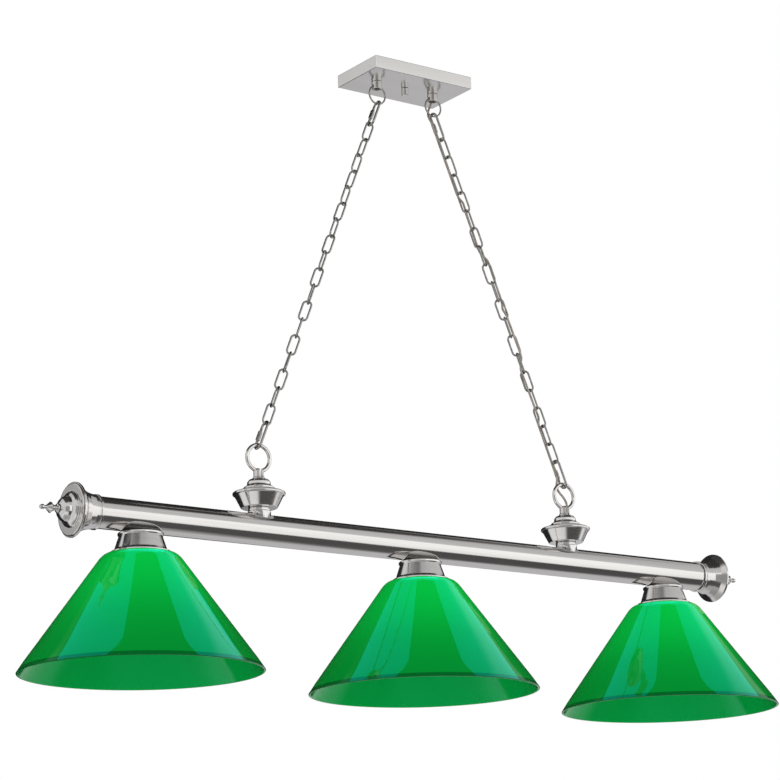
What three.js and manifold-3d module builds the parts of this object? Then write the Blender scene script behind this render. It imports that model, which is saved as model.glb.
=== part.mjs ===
// Three-shade pool table lamp: a ceiling canopy, two chains, a hollow bar and three cone shades.
// Millimetres, +Z up. The ceiling is the plane z = 0, the bar runs along X under the origin.
import * as THREE from 'three';
import { mergeVertices } from 'three/addons/utils/BufferGeometryUtils.js';
import Module from 'manifold-3d';

// Driving dimensions.
const GAP = 0.3;
const CANOPY = { length: 191, width: 108, depth: 21, wall: 1.2, loopX: 56 };
const STRAP = { length: 100, width: 19, thickness: 3, slotX: 31, slotLength: 28, slotWidth: 5 };
const GROUND_SCREW_X = 11;
const STUD = { radius: 3, flangeRadius: 6, bottomZ: -30 };
const NIPPLE = { radius: 5, bore: 3.9, clearance: 5.3 };
const FERRULE = { radius: 8.4, bore: 6.5, bottomZ: -33.4, stepZ: -23.6, nippleTopZ: -15.7, nippleEndZ: -23,
  ringZ: -27.6 };
const RING_GAP = 0.9;
const TOP_RING = { radius: 15.5, wire: 1.4 };
const LINK = { width: 16.5, wire: 1.6 };
const QUICK_LINK = { width: 18.6, wire: 2, lengthRatio: 1.37, sleeveRadius: 3.5, sleeveLength: 15 };
const LINK_COUNT = 20;
const BAR = { z: -781, radius: 23.5, wall: 1.5, halfLength: 581 };
const HOLDER_X = 296;
const CUP = { bottom: 9.3, rimTop: 33, lidTop: 38 };
const LOOP = { radius: 20, wire: 3, stemRadius: 8.2, stemTop: 69.5, stemBottom: 54.8, centre: 86.5 };
const HOLDER_NIPPLE = { radius: 4, bore: 2.6, clearance: 4.4 };
const CORD_RADIUS = 1.8;
const CORD_NOTCH_Y = -6.6;
const CORD_DROP_Y = -10;
const END_X = 613.7;
const LAMP_X = 501;
const SHADE = { rimRadius: 178, rimZ: -204, coneRadius: 62, coneZ: -41.9, flatRadius: 44,
  topZ: -30.5, wall: 3.5, hole: 20.8 };
const SOCKET = { radius: 19.5, bore: 15.2, topZ: -8, floorZ: -18.5, bottomZ: -57.5 };
const HARNESS = { z: -790, radius: 2.2, dropRadius: 1.8, dropEndZ: -820, spliceX: 324, spliceDrop: -18.5 };

const wasm = await Module();
wasm.setup();

// Each piece gets a material of its own, made from one of these finishes.
const FINISHES = {
  nickel: { color: 0xbab6ae, metalness: 0.95, roughness: 0.3 },
  steel: { color: 0xa9abad, metalness: 0.9, roughness: 0.42 },
  brass: { color: 0xc9a45a, metalness: 0.95, roughness: 0.3 },
  greenShade: { color: 0x0a9a44, metalness: 0, roughness: 0.08 },
  phenolic: { color: 0x17181a, metalness: 0, roughness: 0.45 },
  clearCord: { color: 0xa39b8c, metalness: 0, roughness: 0.3 },
  wiring: { color: 0xe6e4dc, metalness: 0, roughness: 0.5 },
  groundGreen: { color: 0x2f7d46, metalness: 0.3, roughness: 0.4 },
};

/** Signed volume of an indexed triangle list: positive when its faces point out. */
function signedVolume(position, corners) {
  const [a, b, c] = [new THREE.Vector3(), new THREE.Vector3(), new THREE.Vector3()];
  let total = 0;
  for (let i = 0; i < corners.length; i += 3) {
    a.fromArray(position, corners[i] * 3);
    b.fromArray(position, corners[i + 1] * 3);
    c.fromArray(position, corners[i + 2] * 3);
    total += a.dot(b.cross(c)) / 6;
  }
  return total;
}

/** Turns a closed three.js geometry into a solid that can be joined and cut. */
function solid(geometry) {
  const bare = geometry.clone();
  bare.deleteAttribute('normal');
  bare.deleteAttribute('uv');
  const merged = mergeVertices(bare, 1e-4);
  const position = merged.attributes.position.array;
  const corners = [];
  for (let i = 0; i < merged.index.count; i += 3) {
    const face = [0, 1, 2].map((k) => merged.index.getX(i + k));
    if (new Set(face).size === 3) corners.push(...face);
  }
  if (signedVolume(position, corners) < 0) corners.reverse();
  return new wasm.Manifold(new wasm.Mesh({
    numProp: 3,
    vertProperties: Float32Array.from(position),
    triVerts: Uint32Array.from(corners),
  }));
}

/** A named mesh of one solid in one finish. */
function piece(name, body, finish) {
  const { vertProperties, triVerts } = body.getMesh();
  const geometry = new THREE.BufferGeometry();
  geometry.setAttribute('position', new THREE.BufferAttribute(vertProperties, 3));
  geometry.setIndex(new THREE.BufferAttribute(triVerts, 1));
  geometry.computeVertexNormals();
  const mesh = new THREE.Mesh(geometry, new THREE.MeshStandardMaterial(FINISHES[finish]));
  mesh.name = name;
  return mesh;
}

/** A solid of revolution about Z. The profile is a list of [radius, z] corners. */
function turned(profile, segments, closed = true) {
  const points = profile.map(([r, z]) => new THREE.Vector2(r, z));
  if (closed) points.push(points[0].clone());
  return solid(new THREE.LatheGeometry(points, segments).rotateX(Math.PI / 2));
}

/** An upright round bar between two heights. */
function rod(radius, bottom, top, segments, x = 0, y = 0) {
  const geometry = new THREE.CylinderGeometry(radius, radius, top - bottom, segments);
  return solid(geometry.rotateX(Math.PI / 2).translate(x, y, (top + bottom) / 2));
}

/** A round bar along X. */
function crossRod(radius, length, segments, x, z) {
  const geometry = new THREE.CylinderGeometry(radius, radius, length, segments);
  return solid(geometry.rotateZ(Math.PI / 2).translate(x, 0, z));
}

/** A pipe between two heights. */
function pipe(radius, bore, bottom, top, segments) {
  return turned([[bore, bottom], [radius, bottom], [radius, top], [bore, top]], segments);
}

/** A box from its size and its centre. */
function block(size, centre) {
  return solid(new THREE.BoxGeometry(...size).translate(...centre));
}

/** A six-sided nut standing on the given height. */
function hexNut(acrossCorners, bore, bottom, height) {
  const top = bottom + height;
  return rod(acrossCorners / 2, bottom, top, 6).subtract(rod(bore, bottom - 1, top + 1, 16));
}

/** A torus in the XZ plane, centred at the given height. */
function ring(radius, wire, z, sides, segments) {
  const geometry = new THREE.TorusGeometry(radius, wire, sides, segments);
  return solid(geometry.rotateX(Math.PI / 2).translate(0, 0, z));
}

/** A round tube along a smooth curve through points. */
function sweptTube(points, radius, sides, steps) {
  const path = new THREE.CatmullRomCurve3(points, false, 'centripetal');
  const corners = [];
  for (let i = 0; i < sides; i += 1) {
    const angle = (2 * Math.PI * i) / sides;
    corners.push(new THREE.Vector2(radius * Math.cos(angle), radius * Math.sin(angle)));
  }
  const geometry = new THREE.ExtrudeGeometry(new THREE.Shape(corners), {
    steps,
    extrudePath: path,
    bevelEnabled: false,
  });
  return solid(geometry);
}

// ---------------------------------------------------------------- ceiling canopy

function mountingStrap() {
  const { length, width, thickness, slotX, slotLength, slotWidth } = STRAP;
  let strap = block([length, width, thickness], [0, 0, -thickness / 2]);
  for (const side of [-1, 1]) {
    strap = strap.subtract(block([slotLength, slotWidth, 3 * thickness], [side * slotX, 0, 0]));
  }
  return strap.subtract(rod(2.3, -2 * thickness, thickness, 12, GROUND_SCREW_X));
}

function groundScrew() {
  const shank = rod(2, -STRAP.thickness - 1, -0.5, 10, GROUND_SCREW_X);
  return rod(3.4, -STRAP.thickness - 3, -STRAP.thickness - GAP, 12, GROUND_SCREW_X).add(shank);
}

function canopyStud() {
  const top = -STRAP.thickness - GAP;
  return rod(STUD.flangeRadius, top - 1.2, top, 12, 0, 0)
    .add(rod(STUD.radius, STUD.bottomZ, top - 0.5, 12));
}

function canopyPan() {
  const { length, width, depth, wall, loopX } = CANOPY;
  let pan = block([length, width, depth], [0, 0, -depth / 2]);
  pan = pan.subtract(block([length - 2 * wall, width - 2 * wall, depth], [0, 0, wall - depth / 2]));
  pan = pan.subtract(rod(STUD.radius + 0.5, -depth - 2, -depth + 4, 16));
  for (const side of [-1, 1]) {
    pan = pan.subtract(rod(NIPPLE.clearance, -depth - 2, -depth + 4, 16, side * loopX));
  }
  return pan;
}

function canopyNut() {
  const top = -CANOPY.depth - GAP;
  const bottom = top - 12;
  return turned([
    [0, bottom], [4.6, bottom], [5.5, bottom + 1], [5.5, top], [STUD.radius + GAP, top],
    [STUD.radius + GAP, STUD.bottomZ - 0.5], [0, STUD.bottomZ - 0.5],
  ], 20, false);
}

function ferrule() {
  const top = -CANOPY.depth - GAP;
  const { radius, bore, bottomZ, stepZ, ringZ } = FERRULE;
  const body = turned([
    [NIPPLE.clearance, top], [radius, top], [radius, bottomZ + 0.8], [radius - 0.8, bottomZ],
    [bore, bottomZ], [bore, stepZ], [NIPPLE.clearance, stepZ],
  ], 16);
  // A window in each side wall lets the curved ring through and leaves it free to swing about X.
  return body.subtract(block([4 * radius, 5.2, 5.2], [0, 0, ringZ - 1.9]));
}

const canopyGroup = new THREE.Group();
canopyGroup.add(
  piece('mounting_strap', mountingStrap(), 'steel'),
  piece('ground_screw', groundScrew(), 'groundGreen'),
  piece('canopy_stud', canopyStud(), 'steel'),
  piece('canopy', canopyPan(), 'nickel'),
  piece('canopy_nut', canopyNut(), 'nickel'),
);

function canopyLoop(side, sideName) {
  const group = new THREE.Group();
  group.position.x = side * CANOPY.loopX;
  const innerFloor = -CANOPY.depth + CANOPY.wall + GAP;
  const ringCentre = FERRULE.ringZ - TOP_RING.radius;
  const nipple = pipe(NIPPLE.radius, NIPPLE.bore, FERRULE.nippleEndZ, FERRULE.nippleTopZ, 10);
  group.add(
    piece(`loop_nipple_${sideName}`, nipple, 'brass'),
    piece(`lock_nut_${sideName}`, hexNut(16.2, NIPPLE.clearance, innerFloor, 3), 'brass'),
    piece(`ferrule_${sideName}`, ferrule(), 'nickel'),
    piece(`top_ring_${sideName}`, ring(TOP_RING.radius, TOP_RING.wire, ringCentre, 5, 20), 'nickel'),
  );
  return group;
}

// ---------------------------------------------------------------- chains

// Each chain is a straight line from the bottom of its top ring to the top of its lower loop.
const CHAIN_TOP = new THREE.Vector3(CANOPY.loopX, 0, FERRULE.ringZ - 2 * TOP_RING.radius);
const LOOP_BASE_Z = BAR.z + BAR.radius;
const CHAIN_BOTTOM = new THREE.Vector3(HOLDER_X, 0, LOOP_BASE_Z + LOOP.centre + LOOP.radius);
const CHAIN_SPAN = CHAIN_TOP.distanceTo(CHAIN_BOTTOM);
const CHAIN_LEAN = Math.atan2(CHAIN_BOTTOM.x - CHAIN_TOP.x, CHAIN_TOP.z - CHAIN_BOTTOM.z);
// A quarter turn of twist is spread over the links, so both end links can hang on rings in one plane.
const TWIST_STEP = Math.PI / 2 / (LINK_COUNT - 1);
const REGULAR_COUNT = LINK_COUNT - 2;
const PITCH = (CHAIN_SPAN + TOP_RING.wire + LOOP.wire + 2 * RING_GAP + 2 * GAP)
  / (REGULAR_COUNT + 2 * QUICK_LINK.lengthRatio);

const isQuickLink = (index) => index === 0 || index === LINK_COUNT - 1;
const innerLength = (index) => (isQuickLink(index) ? PITCH * QUICK_LINK.lengthRatio : PITCH);

/** Distance down the chain of each link's middle. */
function linkCentres() {
  const centres = [];
  let innerTop = -TOP_RING.wire - RING_GAP;
  for (let i = 0; i < LINK_COUNT; i += 1) {
    centres.push(innerTop + innerLength(i) / 2);
    const loose = isQuickLink(i) || isQuickLink(i + 1);
    innerTop += innerLength(i) - (loose ? GAP : 0);
  }
  return centres;
}
const LINK_CENTRES = linkCentres();

/** An oval link: a torus pulled apart, with eight corners and the given inner length along Z. */
function ovalLink(outerWidth, wire, inner, sides) {
  const corners = 8;
  const half = Math.PI / corners;
  const radius = (outerWidth / 2 - wire) / Math.cos(half);
  const stretch = inner / 2 - (radius - wire) * Math.cos(half);
  const geometry = new THREE.TorusGeometry(radius, wire, sides, corners).rotateZ(half);
  const position = geometry.attributes.position;
  for (let i = 0; i < position.count; i += 1) {
    position.setY(i, position.getY(i) + Math.sign(position.getY(i)) * stretch);
  }
  return geometry.rotateX(Math.PI / 2);
}

/** Turns a link about the chain and drops it to its place. Link 0 lies in the YZ plane. */
function placeLink(geometry, index) {
  const turn = Math.PI / 2 + index * (Math.PI / 2 + TWIST_STEP);
  return geometry.rotateZ(turn).translate(0, 0, -LINK_CENTRES[index]);
}

function quickLink(index, sleeveSide) {
  const { width, wire, sleeveRadius, sleeveLength } = QUICK_LINK;
  const loop = solid(placeLink(ovalLink(width, wire, innerLength(index), 6), index));
  const sleeve = new THREE.CylinderGeometry(sleeveRadius, sleeveRadius, sleeveLength, 6);
  sleeve.rotateX(Math.PI / 2).translate(sleeveSide * (width / 2 - wire), 0, 0);
  return loop.add(solid(placeLink(sleeve, index)));
}

/** The regular links of one chain, welded where they touch so that the chain is one taut body. */
function chainLinks() {
  const weld = 0.5;
  let chain = null;
  for (let i = 1; i < LINK_COUNT - 1; i += 1) {
    const grow = i === 1 || i === LINK_COUNT - 2 ? 0 : -weld;
    const geometry = placeLink(ovalLink(LINK.width, LINK.wire, PITCH + grow, 4), i);
    const link = solid(geometry);
    chain = chain ? chain.add(link) : link;
  }
  return chain;
}

function chainGroup(side, sideName) {
  const group = new THREE.Group();
  group.position.set(side * CHAIN_TOP.x, 0, CHAIN_TOP.z);
  group.rotation.y = -side * CHAIN_LEAN;
  group.add(
    piece(`top_quick_link_${sideName}`, quickLink(0, 1), 'nickel'),
    piece(`chain_${sideName}`, chainLinks(), 'nickel'),
    piece(`bottom_quick_link_${sideName}`, quickLink(LINK_COUNT - 1, 1), 'nickel'),
  );
  group.updateMatrixWorld(true);
  return group;
}

// ---------------------------------------------------------------- power cord

// The cord runs in the corner between the crossed planes of the links. Across the normal of the
// even links it changes side by passing through the links in evenPasses, and across the normal of
// the odd links by passing through those in oddPasses.
const WEAVE = { offset: 4.4, leanIn: 0.55, evenPasses: [4, 10, 16], oddPasses: [7, 13], evenStart: -1,
  oddStart: 1 };

/** Fractional number of the link at a distance down the chain. */
function linkNumberAt(distance) {
  const next = LINK_CENTRES.findIndex((centre) => centre > distance);
  if (next <= 0) return next === 0 ? 0 : LINK_COUNT - 1;
  const [from, to] = [LINK_CENTRES[next - 1], LINK_CENTRES[next]];
  return next - 1 + (distance - from) / (to - from);
}

/** The cord's side, from -1 to 1, after the passes above a distance. */
function weaveSide(start, passes, distance) {
  let side = start;
  for (const pass of passes) {
    const reach = THREE.MathUtils.clamp((distance - LINK_CENTRES[pass]) / 26 + 0.5, 0, 1);
    side *= Math.cos(Math.PI * reach);
  }
  return side;
}

/** How far the cord leans in towards the middle of a link that it passes through, from 0 to 1. */
function weaveDip(passes, distance) {
  const dips = passes.map((pass) => Math.exp(-(((distance - LINK_CENTRES[pass]) / 8) ** 2)));
  return Math.max(...dips);
}

/** A point of the cord in the right chain's own frame. */
function cordPointOnChain(distance) {
  const { offset, evenPasses, oddPasses, evenStart, oddStart, leanIn } = WEAVE;
  const evenSide = weaveSide(evenStart, evenPasses, distance);
  const oddSide = weaveSide(oddStart, oddPasses, distance);
  const across = offset * evenSide * (1 - leanIn * weaveDip(oddPasses, distance));
  const along = offset * oddSide * (1 - leanIn * weaveDip(evenPasses, distance));
  const twist = linkNumberAt(distance) * TWIST_STEP;
  return new THREE.Vector3(
    across * Math.cos(twist) - along * Math.sin(twist),
    across * Math.sin(twist) + along * Math.cos(twist),
    -distance,
  );
}

function powerCord(rightChain) {
  const x = CANOPY.loopX;
  const intoCanopy = [
    [14, 29, -8], [32, 26, -7], [46, 16, -6.8], [x - 3, 8, -8.2], [x - 0.6, 3.2, -12], [x, 0.9, -17],
    [x, 0.9, -22.4], [x, 4, -28], [x - 0.2, 4.1, -33.4], [x - 3.2, 4.7, -42], [x - 6.6, 5, -51],
    [x - 6.4, 4.8, -58.8],
  ];
  const topOfRun = 10;
  const endOfRun = LINK_CENTRES[LINK_COUNT - 1] + 4;
  const runSteps = 66;
  const run = [];
  for (let i = 0; i <= runSteps; i += 1) {
    const distance = topOfRun + ((endOfRun - topOfRun) * i) / runSteps;
    run.push(rightChain.localToWorld(cordPointOnChain(distance)));
  }
  const hx = HOLDER_X;
  const base = LOOP_BASE_Z;
  const spliceZ = base + HARNESS.spliceDrop;
  const intoBar = [
    [hx - 9.8, 5.5, base + 105], [hx - 9.2, 5.5, base + 100], [hx - 7.2, 2.6, base + 92.5],
    [hx - 4.4, -2.4, base + 85], [hx - 1.6, -5.8, base + 77], [hx, CORD_NOTCH_Y, base + 69],
    [hx, CORD_NOTCH_Y, base + 54], [hx, CORD_NOTCH_Y, base + 41], [hx, -8.5, base + 22],
    [hx, CORD_DROP_Y, base + 8], [hx, CORD_DROP_Y, base - 6], [hx + 1.5, CORD_DROP_Y + 0.4, base - 11],
    [hx + 6, -8, base - 16.5], [hx + 13, -4, spliceZ], [hx + 20, -2, spliceZ],
    [HARNESS.spliceX - GAP, -2, spliceZ],
  ];
  const asPoints = (list) => list.map((p) => new THREE.Vector3(...p));
  // The three stretches overlap by one step, and are joined into one cord.
  return sweptTube([...asPoints(intoCanopy), ...run.slice(0, 2)], CORD_RADIUS, 8, 20)
    .add(sweptTube(run, CORD_RADIUS, 8, 54))
    .add(sweptTube([...run.slice(-2), ...asPoints(intoBar)], CORD_RADIUS, 8, 20));
}

// ---------------------------------------------------------------- bar

/** The cylinder of the bar's outside, seen from a group that stands on top of it. */
const barBelow = (extra) => crossRod(BAR.radius + extra, 200, 28, 0, -BAR.radius);

function barTube() {
  const { radius, wall, halfLength } = BAR;
  let tube = pipe(radius, radius - wall, -halfLength, halfLength, 28);
  const drill = (x, y, holeRadius, up) => {
    const [from, to] = up ? [0, 2 * radius] : [-2 * radius, 0];
    const geometry = new THREE.CylinderGeometry(holeRadius, holeRadius, to - from, 10);
    geometry.rotateX(Math.PI / 2).translate(x, y, (from + to) / 2);
    tube = tube.subtract(solid(geometry.rotateY(-Math.PI / 2)));
  };
  for (const side of [-1, 1]) drill(side * HOLDER_X, 0, HOLDER_NIPPLE.clearance, true);
  drill(HOLDER_X, CORD_DROP_Y, CORD_RADIUS + 0.9, true);
  for (const x of [-LAMP_X, 0, LAMP_X]) drill(x, 0, NIPPLE.clearance, false);
  return tube;
}

function wiringHarness() {
  const { z, radius, dropRadius, dropEndZ, spliceX, spliceDrop } = HARNESS;
  let harness = crossRod(radius, 2 * LAMP_X + 4, 6, 0, z);
  for (const x of [-LAMP_X, 0, LAMP_X]) harness = harness.add(rod(dropRadius, dropEndZ, z, 6, x));
  const spliceZ = LOOP_BASE_Z + spliceDrop;
  const riser = [[spliceX, -2, spliceZ], [spliceX + 6, -2, spliceZ], [spliceX + 14, -1.5, spliceZ - 3],
    [spliceX + 26, -0.5, z + 5], [spliceX + 40, 0, z]];
  return harness.add(sweptTube(riser.map((p) => new THREE.Vector3(...p)), CORD_RADIUS, 6, 6));
}

// ---------------------------------------------------------------- loop holders on the bar

function baseNeck() {
  const neck = turned([[14.5, -12], [17.5, -12], [17.5, 9], [HOLDER_NIPPLE.clearance, 9],
    [HOLDER_NIPPLE.clearance, 6.5], [14.5, 6.5]], 16);
  const cordHole = rod(CORD_RADIUS + 0.7, -20, 20, 8, 0, CORD_DROP_Y + 0.3);
  return neck.subtract(barBelow(GAP)).subtract(cordHole);
}

function holderCup() {
  const { bottom, rimTop, lidTop } = CUP;
  const hole = HOLDER_NIPPLE.clearance;
  const cup = turned([[hole, bottom], [27.6, bottom], [37.8, rimTop - 4], [40, rimTop - 3], [40, rimTop],
    [24.5, lidTop], [hole, lidTop], [hole, lidTop - 2], [24, lidTop - 2], [36.6, rimTop - 2],
    [26.2, bottom + 2], [hole, bottom + 2]], 24);
  return cup.subtract(rod(CORD_RADIUS + 0.9, 0, 20, 8, 0, -9.6))
    .subtract(rod(CORD_RADIUS + 0.9, 30, 45, 8, 0, -7.2));
}

function domeCap() {
  const bottom = CUP.lidTop + GAP;
  const hole = HOLDER_NIPPLE.clearance;
  const cap = turned([[hole, bottom], [23.4, bottom], [23.4, bottom + 3.6], [18, bottom + 6.6],
    [16.6, bottom + 11], [9.4, bottom + 16.2], [hole, bottom + 16.2]], 20);
  return cap.subtract(rod(CORD_RADIUS + 1, 30, 65, 8, 0, CORD_NOTCH_Y));
}

/** The ring and its stem are one casting, with a groove down the stem for the cord. */
function loopAndStem() {
  const { radius, wire, stemRadius, stemTop, stemBottom, centre } = LOOP;
  const groove = block([2 * CORD_RADIUS + 1.2, 8, 40], [0, CORD_NOTCH_Y - 1.9, stemTop - 4.5]);
  return rod(stemRadius, stemBottom, stemTop, 16)
    .subtract(rod(HOLDER_NIPPLE.clearance, stemBottom - 1, stemBottom + 5, 8))
    .subtract(groove)
    .add(ring(radius, wire, centre, 6, 24));
}

function holder(side, sideName) {
  const group = new THREE.Group();
  group.position.set(side * HOLDER_X, 0, LOOP_BASE_Z);
  const { radius, bore, clearance } = HOLDER_NIPPLE;
  const nipple = pipe(radius, bore, -9.5, LOOP.stemBottom + 4.5, 8);
  group.add(
    piece(`base_neck_${sideName}`, baseNeck(), 'nickel'),
    piece(`holder_cup_${sideName}`, holderCup(), 'nickel'),
    piece(`dome_cap_${sideName}`, domeCap(), 'nickel'),
    piece(`lower_loop_${sideName}`, loopAndStem(), 'nickel'),
    piece(`holder_nipple_${sideName}`, nipple, 'brass'),
    piece(`holder_nut_${sideName}`, hexNut(13, clearance, -8, 4), 'brass'),
  );
  return group;
}

// ---------------------------------------------------------------- bar ends

// These profiles are [radius, distance outward from the end disk].
function endBell() {
  return turned([[24, -39], [25.9, -39], [25.9, -35.4], [24.9, -34], [25.3, -29], [28, -18.5], [33, -9],
    [40.2, -3.4], [40.2, 0], [38.6, 0], [31, -8], [26.4, -18.5], [24, -29]], 20);
}

function endCover() {
  return turned([[38, GAP], [38, 1.8], [25.7, 1.8], [25.7, 4.8], [18.9, 8.8], [17.6, 14],
    [3.4, 22], [3.4, 20.4], [16, 12.6], [17, 7.6], [24.2, GAP]], 20);
}

function finial() {
  return turned([[0, 33], [3.4, 33], [3.4, 22 + GAP], [7, 22 + GAP], [7, 24.4], [4.4, 28],
    [8.4, 34.9], [2.6, 42], [3.7, 47.3], [0, 51.3]], 12, false);
}

function endAnchor() {
  const inner = BAR.halfLength - END_X - 18;
  const plate = rod(BAR.radius - BAR.wall - GAP - 0.2, inner, inner + 3, 20);
  return plate.add(rod(3, inner - 6, 32.6, 8));
}

function barEnd(side, sideName) {
  const group = new THREE.Group();
  group.position.set(side * END_X, 0, BAR.z);
  group.rotation.y = (side * Math.PI) / 2;
  group.add(
    piece(`end_bell_${sideName}`, endBell(), 'nickel'),
    piece(`end_cover_${sideName}`, endCover(), 'nickel'),
    piece(`finial_${sideName}`, finial(), 'nickel'),
    piece(`end_anchor_${sideName}`, endAnchor(), 'steel'),
  );
  return group;
}

// ---------------------------------------------------------------- lamps under the bar

function shadeFitter() {
  const top = -GAP;
  return turned([[NIPPLE.clearance, top], [33.5, top], [33.5, -4.4], [32, -6], [38.6, -24.6], [44, -28.4],
    [44, -30.2], [42.2, -30.2], [37, -26], [30.2, -1.9], [NIPPLE.clearance, -1.9]], 20);
}

function lampSocket() {
  const { radius, bore, topZ, floorZ, bottomZ } = SOCKET;
  return turned([[NIPPLE.clearance, topZ], [14.5, topZ], [radius, topZ - 5], [radius, bottomZ],
    [bore, bottomZ], [bore, floorZ], [NIPPLE.clearance, floorZ]], 16);
}

function screwShell() {
  return turned([[0, -20], [14.6, -20], [14.6, -56], [13.3, -56], [13.3, -21.4], [0, -21.4]], 16, false);
}

function shadeRing() {
  const top = SHADE.topZ - SHADE.wall - GAP;
  return pipe(28, SOCKET.radius + 0.6, top - 6, top, 16);
}

/** The shade's wall, from the flat top round a shoulder and straight down the cone. */
function coneShade() {
  const { rimRadius, rimZ, coneRadius, coneZ, flatRadius, topZ, wall, hole } = SHADE;
  const slope = (rimRadius - coneRadius) / (coneZ - rimZ);
  const sideways = wall * Math.hypot(1, slope);
  const cornerRadius = coneRadius - slope * (topZ - coneZ);
  const shoulder = (inset, drop) => new THREE.QuadraticBezierCurve(
    new THREE.Vector2(flatRadius, topZ - drop),
    new THREE.Vector2(cornerRadius + slope * drop - inset, topZ - drop),
    new THREE.Vector2(coneRadius - inset, coneZ),
  ).getPoints(3).map((p) => [p.x, p.y]);
  return turned([
    [hole, topZ], ...shoulder(0, 0), [rimRadius, rimZ], [rimRadius - sideways, rimZ],
    ...shoulder(sideways, wall).reverse(), [hole, topZ - wall],
  ], 28);
}

function lamp(x, placeName) {
  const group = new THREE.Group();
  group.position.set(x, 0, BAR.z - BAR.radius);
  group.add(
    piece(`lamp_nipple_${placeName}`, pipe(NIPPLE.radius, NIPPLE.bore, -14, 8, 10), 'brass'),
    piece(`shade_fitter_${placeName}`, shadeFitter(), 'nickel'),
    piece(`lamp_socket_${placeName}`, lampSocket(), 'phenolic'),
    piece(`screw_shell_${placeName}`, screwShell(), 'brass'),
    piece(`shade_ring_${placeName}`, shadeRing(), 'phenolic'),
    piece(`shade_${placeName}`, coneShade(), 'greenShade'),
  );
  return group;
}

// ---------------------------------------------------------------- assembly

const lampAssembly = new THREE.Group();
lampAssembly.add(canopyGroup);
for (const [side, name] of [[-1, 'left'], [1, 'right']]) {
  lampAssembly.add(canopyLoop(side, name), holder(side, name), barEnd(side, name));
}
const leftChain = chainGroup(-1, 'left');
const rightChain = chainGroup(1, 'right');
lampAssembly.add(leftChain, rightChain, piece('power_cord', powerCord(rightChain), 'clearCord'));
const tube = piece('bar_tube', barTube(), 'nickel');
tube.rotation.y = Math.PI / 2;
tube.position.z = BAR.z;
lampAssembly.add(tube, piece('wiring_harness', wiringHarness(), 'wiring'));
for (const [x, name] of [[-LAMP_X, 'left'], [0, 'middle'], [LAMP_X, 'right']]) {
  lampAssembly.add(lamp(x, name));
}

export default lampAssembly;
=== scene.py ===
"""Three-shade pool table lamp, brushed nickel with green glass cones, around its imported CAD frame.

The model is in metres, +Z up. Shapes below are written in millimetres and scaled by MM.
"""
import math

import bmesh
import bpy
from mathutils import Matrix, Vector


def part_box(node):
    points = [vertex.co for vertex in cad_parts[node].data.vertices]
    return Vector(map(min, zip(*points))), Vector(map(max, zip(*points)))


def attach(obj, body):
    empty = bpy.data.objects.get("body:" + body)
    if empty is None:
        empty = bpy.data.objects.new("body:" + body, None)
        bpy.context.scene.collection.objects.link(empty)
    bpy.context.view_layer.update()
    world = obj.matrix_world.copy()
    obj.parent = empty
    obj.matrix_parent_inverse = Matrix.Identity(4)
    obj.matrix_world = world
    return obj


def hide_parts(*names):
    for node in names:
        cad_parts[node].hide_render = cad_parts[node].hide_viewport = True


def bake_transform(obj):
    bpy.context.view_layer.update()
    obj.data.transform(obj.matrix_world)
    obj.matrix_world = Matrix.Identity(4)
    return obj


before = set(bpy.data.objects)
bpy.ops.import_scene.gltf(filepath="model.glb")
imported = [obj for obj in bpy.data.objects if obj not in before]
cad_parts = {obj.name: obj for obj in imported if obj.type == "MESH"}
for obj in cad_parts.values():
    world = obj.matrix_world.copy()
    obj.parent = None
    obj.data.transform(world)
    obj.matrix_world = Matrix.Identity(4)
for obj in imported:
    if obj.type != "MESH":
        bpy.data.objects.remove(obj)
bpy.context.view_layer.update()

MM = 0.001
SIDES = ((-1, "left"), (1, "right"))
PLACES = ((-1, "left"), (0, "middle"), (1, "right"))


def centre_of(node):
    low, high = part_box(node)
    return (low + high) / (2 * MM)


# Anchor points of the frame, in millimetres.
LOOP_X = centre_of("ferrule_right").x
HOLDER_X = centre_of("holder_cup_right").x
LAMP_X = centre_of("shade_right").x
BAR_Z = centre_of("bar_tube").z
BAR_RADIUS = (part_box("bar_tube")[1].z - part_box("bar_tube")[0].z) / (2 * MM)
BAR_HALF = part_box("bar_tube")[1].x / MM
BAR_TOP = BAR_Z + BAR_RADIUS
BAR_BOTTOM = BAR_Z - BAR_RADIUS
END_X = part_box("end_bell_right")[1].x / MM
PAN_SIZE = (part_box("canopy")[1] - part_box("canopy")[0]) / MM
PAN_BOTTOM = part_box("canopy")[0].z / MM

RING_PIVOT_RISE = 5.8
RING_PIVOT_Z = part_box("ferrule_right")[0].z / MM + RING_PIVOT_RISE
RING_RADIUS, RING_WIRE = 15.5, 1.4
LOOP_RADIUS, LOOP_WIRE, LOOP_CENTRE = 20.0, 3.0, 86.5
LINK_WIDTH, LINK_WIRE, LINK_COUNT = 16.5, 1.6, 20
QUICK_WIDTH, QUICK_WIRE, QUICK_RATIO = 18.6, 2.0, 1.37
RING_GAP, QUICK_GAP = 0.9, 0.3
CORD_RADIUS = 1.8

CHAIN_TOP = Vector((LOOP_X, 0, RING_PIVOT_Z - 2 * RING_RADIUS))
CHAIN_BOTTOM = Vector((HOLDER_X, 0, BAR_TOP + LOOP_CENTRE + LOOP_RADIUS))
CHAIN_LEAN = math.atan2(CHAIN_BOTTOM.x - CHAIN_TOP.x, CHAIN_TOP.z - CHAIN_BOTTOM.z)
TWIST_STEP = math.pi / 2 / (LINK_COUNT - 1)
PITCH = ((CHAIN_TOP - CHAIN_BOTTOM).length + RING_WIRE + LOOP_WIRE + 2 * RING_GAP + 2 * QUICK_GAP) / (
    LINK_COUNT - 2 + 2 * QUICK_RATIO
)


# ---------------------------------------------------------------- camera, floor and light

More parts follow.
